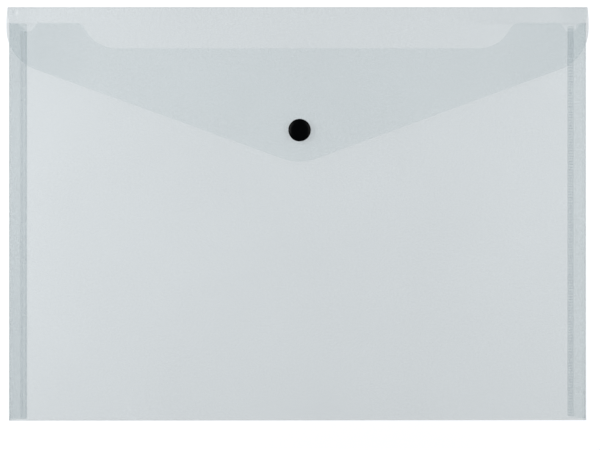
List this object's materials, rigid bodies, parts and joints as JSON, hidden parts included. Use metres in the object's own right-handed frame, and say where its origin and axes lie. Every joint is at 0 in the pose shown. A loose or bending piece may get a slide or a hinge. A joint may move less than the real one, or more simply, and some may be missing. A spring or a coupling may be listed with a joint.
{
  "type": "press-stud document wallet",
  "caption": "Translucent plastic envelope wallet with side gussets, a thumb cut-out at the mouth and a pointed flap held by a black press stud.",
  "frame": {"origin": "on the table under the middle of the wallet, which lies on its back with the flap closed", "axes": "+Z away from the table, +Y towards the flap's crease along the top edge, +X to the right seen from the front"},
  "size_m": [0.3376, 0.24, 0.0063],
  "materials": {
    "film": "translucent polypropylene film, satin with a fine grain",
    "weld": "polypropylene film, heat-fused and finely ribbed across",
    "stud": "smooth moulded black plastic"
  },
  "bodies": {
    "pocket": {"back_panel": "film", "bottom_fold": "film", "top_fold": "film", "left_side_tab": "film", "right_side_tab": "film", "left_weld_seam": "weld", "right_weld_seam": "weld"},
    "front": {"front_panel": "film", "left_side_fold": "film", "right_side_fold": "film", "stud_male": "stud", "stud_inner_cap": "stud"},
    "flap": {"flap_panel": "film", "stud_socket": "stud", "stud_outer_cap": "stud"}
  },
  "joints": [
    {"name": "flap_hinge", "type": "hinge", "parent": "pocket", "child": "flap", "pos_m": [0, 0.11875, 0.00125], "axis": [-1, 0, 0], "range_deg": [0, 175], "deforming": ["top_fold"]},
    {"name": "mouth_hinge", "type": "hinge", "parent": "pocket", "child": "front", "pos_m": [0, -0.119, 0.001], "axis": [1, 0, 0], "range_deg": [0, 1.75]}
  ],
  "couplings": [
    {"joint": "mouth_hinge", "follows": "flap_hinge", "ratio": 0.01}
  ]
}
